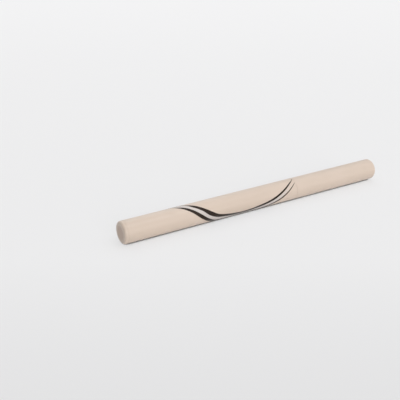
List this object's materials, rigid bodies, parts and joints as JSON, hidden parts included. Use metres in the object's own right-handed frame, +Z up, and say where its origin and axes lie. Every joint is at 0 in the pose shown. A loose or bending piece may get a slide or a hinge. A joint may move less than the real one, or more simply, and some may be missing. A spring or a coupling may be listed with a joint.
{
  "type": "liquid eyeliner pen",
  "caption": "Slim round liquid eyeliner pen with a pull-off cap, a felt nib on a comb feed, and an ink tank with a mixing ball.",
  "frame": {"origin": "on the surface that the pen lies on, under the middle of its length", "axes": "+X along the pen's axis from the tail to the closed end of the cap, +Z up"},
  "size_m": [0.138, 0.01, 0.01],
  "materials": {
    "nude_shell": "satin lacquer on moulded ABS",
    "natural_plastic": "natural moulded polypropylene",
    "ball_steel": "ground stainless steel",
    "seal_rubber": "moulded rubber",
    "feed_plastic": "white moulded ABS",
    "wick_fibre": "bonded polyester fibre",
    "black_plastic": "black moulded polypropylene",
    "inked_felt": "felt wet with black ink"
  },
  "bodies": {
    "barrel": {"barrel": "nude_shell", "tail_plug": "nude_shell", "ink_tank": "natural_plastic", "tank_seal": "seal_rubber", "collector": "feed_plastic", "wick": "wick_fibre", "front_section": "black_plastic", "nib_holder": "black_plastic", "nib": "inked_felt"},
    "cap": {"cap_shell": "nude_shell", "inner_cap": "natural_plastic"},
    "ball": {"mixing_ball": "ball_steel"}
  },
  "joints": [
    {"name": "cap_pull", "type": "slide", "parent": "barrel", "child": "cap", "axis": [1, 0, 0], "range_m": [0, 0.05]},
    {"name": "ball_travel", "type": "slide", "parent": "barrel", "child": "ball", "axis": [1, 0, 0], "range_m": [-0.008, 0.0355]}
  ]
}
